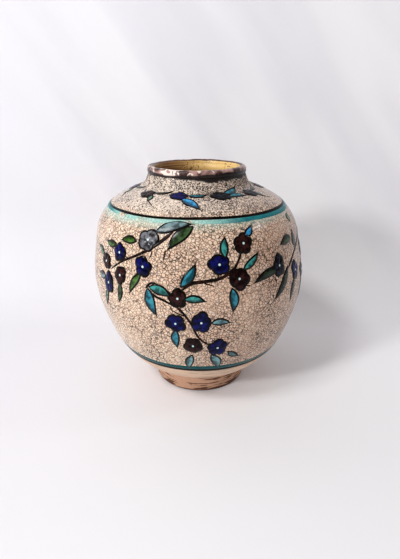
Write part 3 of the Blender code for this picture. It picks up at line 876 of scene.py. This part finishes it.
class VASE_OT_bands(bpy.types.Operator):
    """Turns the dark lines and the turquoise bands on the shoulder and above the foot"""

    bl_idname = "vase.bands"
    bl_label = "Lay the lines and bands"

    def execute(self, context):
        sizes = context.scene.vase_sizes
        wall = Wall(sizes)
        line = line_enamel()
        band = band_enamel()
        high = wall.distance(sizes.wall_heights[SHOULDER_STATION]) - sizes.shoulder_line / 2
        low = sizes.foot_line + sizes.foot_line_width / 2
        rings = {
            "shoulder_line": (high, sizes.shoulder_line, 20, line, "manganese_enamel"),
            "shoulder_band": (high, -sizes.shoulder_band, 50, band, "turquoise_enamel"),
            "foot_line": (low, -sizes.foot_line_width, -25, line, "manganese_enamel"),
            "foot_band": (low, sizes.foot_band, -30, band, "turquoise_enamel"),
        }
        share = np.array([0, 0.12, 0.3, 0.5, 0.7, 0.88, 1, 1, 0])
        lift = sizes.band_lift * np.array([0.1, 0.7, 0.95, 1, 0.95, 0.7, 0.1, 0, 0])
        lift[-2:] = -sizes.bury
        for name, (start, width, full, material, slot) in rings.items():
            outline = wall.at(start + width * share, lift)
            ring = turned(f"painted_{name}", outline, True, material)
            points = coordinates(ring.data)
            angle = np.arctan2(points[:, 0], -points[:, 1])
            side = np.column_stack([np.hypot(points[:, 0], points[:, 1]), points[:, 2]])
            corner = np.linalg.norm(side[:, None] - outline, axis=2).argmin(axis=1)
            loaded = 0.85 + 0.25 * np.cos(angle - math.radians(full)) + 0.08 * np.sin(7 * angle + full)
            wander = 0.35 * MM * np.sin(2 * angle + start * 40) + 0.15 * MM * np.sin(5 * angle + 1)
            up = start + wander + width * share[corner] * loaded
            flat = np.column_stack([angle * wall.belly, up])
            move_points(ring.data, wall.wrap(flat, lift[corner]))
            hand_over(ring, (name,), slot)
        return {"FINISHED"}


def model_stroke():
    """The brush stroke that stems and leaves are copied from: a strip with a back, one step thick."""
    start_fresh()
    bpy.ops.mesh.primitive_grid_add(x_subdivisions=26, y_subdivisions=8, size=2)
    return thicken()


def model_dab():
    """The round dab that blossoms are copied from: a disc in rings, with a back, one step thick."""
    start_fresh()
    rings = 10
    bpy.ops.mesh.primitive_circle_add(vertices=50, radius=1, fill_type="NGON")
    edit_all()
    for _ in range(rings - 1):
        bpy.ops.mesh.inset(thickness=1 / rings)
    bpy.ops.mesh.poke()
    bpy.ops.object.mode_set(mode="OBJECT")
    return thicken()


def thicken():
    obj = bpy.context.object
    bpy.ops.object.modifier_add(type="SOLIDIFY")
    back = obj.modifiers[-1]
    back.thickness = 1
    back.offset = -1
    bpy.ops.object.modifier_apply(modifier=back.name)
    bpy.ops.object.shade_smooth()
    return obj


class Painter:
    """Lays copies of a stroke and a dab on the wall, and joins them into painted pieces."""

    def __init__(self):
        self.sizes, self.colours = settings()
        self.wall = Wall(self.sizes)
        self.shapes = {"stroke": model_stroke(), "dab": model_dab()}
        self.enamels = {"stem": stem_enamel(), "leaf": leaf_enamel(), "petal": petal_enamel()}

    def spot(self, place):
        return self.start + np.array(place) * MM

    def widening(self, flat):
        """How much wider a shape is unrolled than on the wall."""
        return self.wall.belly / np.interp(flat[:, 1], self.wall.lengths, self.wall.points[:, 0])

    def lay(self, shape, enamel, tint, flat, lift, **values):
        """One copy of a shape with its points on the wall and its values kept with them."""
        copy = self.shapes[shape].copy()
        copy.data = copy.data.copy()
        bpy.context.collection.objects.link(copy)
        move_points(copy.data, self.wall.wrap(flat, lift))
        for name, each in values.items():
            kept = copy.data.attributes.new(name, "FLOAT", "POINT")
            kept.data.foreach_set("value", each.astype(np.float32))
        shade = copy.data.attributes.new("enamel", "FLOAT_COLOR", "POINT")
        fill = (*getattr(self.colours, tint), 1)
        shade.data.foreach_set("color", np.tile(fill, len(flat)).astype(np.float32))
        copy.data.materials.append(self.enamels[enamel])
        self.copies.append(copy)

    def stroke(self, enamel, tint, knots, widths, lift):
        """A stroke along the knots, as wide along it as the widths say."""
        spine = smooth_outline([self.spot(knot) for knot in knots], 0.6 * MM)
        lengths = along_lengths(spine)
        points = coordinates(self.shapes["stroke"].data)
        along = (points[:, 0] + 1) / 2
        side = points[:, 1]
        front = points[:, 2] > -0.5
        reach = along * lengths[-1]
        middle = between(reach, lengths, spine)
        way = between(reach, lengths, np.gradient(spine, axis=0))
        wide = self.widening(middle)
        arm = np.column_stack([-way[:, 1], way[:, 0] / wide])
        arm /= np.linalg.norm(arm, axis=1)[:, None]
        arm[:, 0] *= wide
        half = widths(along) * MM / 2
        flat = middle + arm * (side * half)[:, None]
        dome = lift * np.sqrt(np.clip(1 - side**2, 0.02, 1)) * np.clip(half / (0.6 * MM), 0.3, 1)
        rise = np.where(front, dome, -self.sizes.bury)
        rim = (1 - np.abs(side)) * half / MM
        self.lay("stroke", enamel, tint, flat, rise, along=along, side=side, rim=rim)

    def stem(self, knots, first, last):
        def widths(along):
            ends = np.clip(np.minimum(along, 1 - along) * 14, 0.25, 1)
            return (first + (last - first) * along) * ends

        self.stroke("stem", "line", knots, widths, self.sizes.stroke_lift * 0.8)

    def leaf(self, base, tip, width, tint, bend):
        """A leaf, widest before its middle, with a tip drawn out by the brush."""
        base, tip = np.array(base), np.array(tip)
        way = tip - base
        middle = (base + tip) / 2 + np.array([-way[1], way[0]]) * bend

        def widths(along):
            body = np.sin(np.pi * np.clip(along / 0.9, 0, 1) ** 0.85) ** 0.85
            return np.maximum(LEAF_SPREAD * width * body, TIP_WIDTH * np.clip((1 - along) * 6, 0.2, 1))

        self.stroke("leaf", tint, [base, middle, tip], widths, self.sizes.stroke_lift)

    def blossom(self, place, radius, turn, tint, eye):
        """A blossom of five puffed petals with creases between them, with or without a pale eye."""
        points = coordinates(self.shapes["dab"].data)
        share = np.hypot(points[:, 0], points[:, 1])
        angle = np.arctan2(points[:, 1], points[:, 0])
        lobe = np.abs(np.cos(2.5 * (angle - math.radians(turn))))
        uneven = 1 + 0.06 * np.sin(2 * angle + turn) + 0.05 * np.sin(3 * angle + 2 * turn)
        reach = np.mean(radius) * uneven * (0.82 + 0.18 * lobe**0.6)
        middle = self.spot(place)
        wide = self.widening(np.array([middle]))[0]
        across, up = np.broadcast_to(radius, 2) / np.mean(radius) * MM
        flat = middle + points[:, :2] * reach[:, None] * (across * wide, up)
        front = points[:, 2] > -0.5
        puff = np.sqrt(np.clip(1 - share**4, 0.03, 1)) * (0.62 + 0.38 * lobe**0.7 * np.sin(np.pi * share))
        rise = np.where(front, self.sizes.petal_lift * puff, -self.sizes.bury)
        crease = np.clip(1 - lobe / 0.34, 0, 1) * np.clip((share - 0.3) * 3, 0, 1)
        rim = (1 - share) * reach
        away = share * reach if eye else np.full_like(share, np.max(radius))
        self.lay("dab", "petal", tint, flat, rise, along=away, side=crease, rim=rim)

    def paint(self, name, angle, height, layout, blossoms=None):
        """Paints a layout as one piece. A tint for all its blossoms leaves out their eyes."""
        self.start = np.array([math.radians(angle) * self.wall.belly, self.wall.distance(height)])
        self.copies = []
        for knots, first, last in layout["stems"]:
            self.stem(knots, first, last)
        for knots in layout["twigs"]:
            self.stem(knots, *TWIG_WIDTHS)
        for i, (base, tip, width, tint) in enumerate(layout["leaves"]):
            self.leaf(base, tip, width, tint, LEAF_BENDS[i % 2])
        for place, radius, turn, tint in layout["blossoms"]:
            self.blossom(place, radius, turn, blossoms or tint, blossoms is None)
        start_fresh()
        for copy in self.copies:
            copy.select_set(True)
        piece = self.copies[0]
        bpy.context.view_layer.objects.active = piece
        bpy.ops.object.join()
        piece.name = f"painted_{name}"
        piece.data.name = piece.name
        hand_over(piece, (name,), "cobalt_enamel")

    def put_away(self):
        for shape in self.shapes.values():
            bpy.data.objects.remove(shape)


class VASE_OT_sprays(bpy.types.Operator):
    """Paints the flowering sprays round the belly"""

    bl_idname = "vase.sprays"
    bl_label = "Paint the sprays"

    def execute(self, context):
        painter = Painter()
        belly = context.scene.vase_sizes.belly_height
        for side, turn in SIDE_TURNS.items():
            for name, layout in SPRAYS.items():
                painter.paint(f"{side}_{name}_spray", turn + layout["angle"], belly, layout)
        painter.put_away()
        return {"FINISHED"}


class VASE_OT_sprigs(bpy.types.Operator):
    """Paints the sprigs round the neck"""

    bl_idname = "vase.sprigs"
    bl_label = "Paint the sprigs"

    def execute(self, context):
        painter = Painter()
        root = context.scene.vase_sizes.wall_heights[ROOT_STATION]
        for i in range(SPRIG_COUNT):
            layout, tint, turn = SPRIGS[i % len(SPRIGS)]
            angle = SPRIG_FIRST_ANGLE + i * 360 / SPRIG_COUNT + turn
            painter.paint(f"neck_sprig_{i + 1:02d}", angle, root, layout, tint)
        painter.put_away()
        return {"FINISHED"}


class VASE_OT_stage(bpy.types.Operator):
    """Sets up the cloth, the lights and the camera"""

    bl_idname = "vase.stage"
    bl_label = "Set the stage"

    def execute(self, context):
        scene = context.scene
        stage = scene.vase_stage
        self.sweep(stage)
        for name, (size, place) in LAMPS.items():
            self.light(name, getattr(stage, f"{name}_power"), size, Vector(place))
        world = bpy.data.worlds.new("Sky")
        world.use_nodes = True
        tree = world.node_tree
        sky = tree.nodes["Background"].inputs
        sky["Color"].default_value = (1, 0.98, 0.985, 1)
        path = tree.nodes.new("ShaderNodeLightPath").outputs
        mirrored, seen = Wire(tree, path["Is Glossy Ray"]), Wire(tree, path["Is Camera Ray"])
        # The sky is dimmer in the gloss and brighter where the camera sees it
        strength = (1 - mirrored * 0.7) * stage.sky_power + seen * 0.4
        tree.links.new(strength.socket, sky["Strength"])
        scene.world = world
        scene.view_settings.view_transform = "Standard"
        tilt = math.radians(90) - stage.camera_pitch
        bpy.ops.object.camera_add(location=stage.camera_place, rotation=(tilt, 0, 0))
        camera = context.object
        camera.data.lens = stage.camera_lens
        scene.camera = camera
        return {"FINISHED"}

    def sweep(self, stage):
        """A floor that bends up into a backdrop, drawn from the side and pulled out wide, and the table."""
        back, bend, width = stage.backdrop, stage.bend, stage.cloth_width
        turns = np.radians(np.arange(0, 91, 7.5))
        side = [(-stage.cloth_reach, 0)]
        side += [(back - bend + bend * math.sin(t), bend - bend * math.cos(t)) for t in turns]
        side += [(back, stage.cloth_reach)]
        cloth_sweep = draw_outline("cloth_sweep", side, False)
        edit_all()
        bpy.ops.transform.rotate(
            value=math.radians(-90), orient_axis="Z", center_override=(0, 0, 0), orient_type="GLOBAL"
        )
        bpy.ops.transform.translate(value=(-width / 2, 0, 0))
        bpy.ops.mesh.extrude_region_move(TRANSFORM_OT_translate={"value": (width, 0, 0)})
        bpy.ops.mesh.select_all(action="SELECT")
        bpy.ops.mesh.normals_make_consistent(inside=True)
        bpy.ops.object.mode_set(mode="OBJECT")
        bpy.ops.object.shade_smooth()
        material = cloth()
        cloth_sweep.data.materials.append(material)
        start_fresh()
        bpy.ops.mesh.primitive_plane_add(size=width)
        under = bpy.context.object
        under.name = "table_under_cloth"
        edit_all()
        bpy.ops.transform.translate(value=(0, 0, -MM))
        bpy.ops.object.mode_set(mode="OBJECT")
        under.data.materials.append(material)

    def light(self, name, power, size, place):
        turn = (-place).to_track_quat("-Z", "Y").to_euler()
        bpy.ops.object.light_add(type="AREA", location=Vector(VASE_MIDDLE) + place, rotation=turn)
        lamp = bpy.context.object
        lamp.name = name
        lamp.data.shape = "RECTANGLE"
        lamp.data.size, lamp.data.size_y = size
        lamp.data.energy = power


class VASE_PT_panel(bpy.types.Panel):
    """Buttons and settings for the vase"""

    bl_idname = "VASE_PT_panel"
    bl_label = "Ball vase"
    bl_space_type = "VIEW_3D"
    bl_region_type = "UI"
    bl_category = "Vase"

    def draw(self, context):
        for operator in OPERATORS:
            self.layout.operator(operator.bl_idname)
        for group in GROUPS:
            box = self.layout.box()
            settings = getattr(context.scene, group)
            for name in settings.bl_rna.properties.keys():
                if name not in ("name", "rna_type"):
                    box.prop(settings, name)


OPERATORS = (
    VASE_OT_ball, VASE_OT_lip, VASE_OT_foot, VASE_OT_bands, VASE_OT_sprays, VASE_OT_sprigs, VASE_OT_stage
)
GROUPS = {"vase_sizes": VaseSizes, "vase_colours": VaseColours, "vase_stage": StageSettings}


def register():
    for group in GROUPS.values():
        bpy.utils.register_class(group)
    for name, group in GROUPS.items():
        setattr(bpy.types.Scene, name, PointerProperty(type=group))
    for operator in OPERATORS:
        bpy.utils.register_class(operator)
    bpy.utils.register_class(VASE_PT_panel)


def unregister():
    bpy.utils.unregister_class(VASE_PT_panel)
    for operator in reversed(OPERATORS):
        bpy.utils.unregister_class(operator)
    for name, group in GROUPS.items():
        delattr(bpy.types.Scene, name)
        bpy.utils.unregister_class(group)


def main():
    register()
    bpy.ops.vase.stage()
    bpy.ops.vase.ball()
    bpy.ops.vase.lip()
    bpy.ops.vase.foot()
    bpy.ops.vase.bands()
    bpy.ops.vase.sprays()
    bpy.ops.vase.sprigs()
    bpy.context.view_layer.update()


if __name__ == "__main__":
    main()
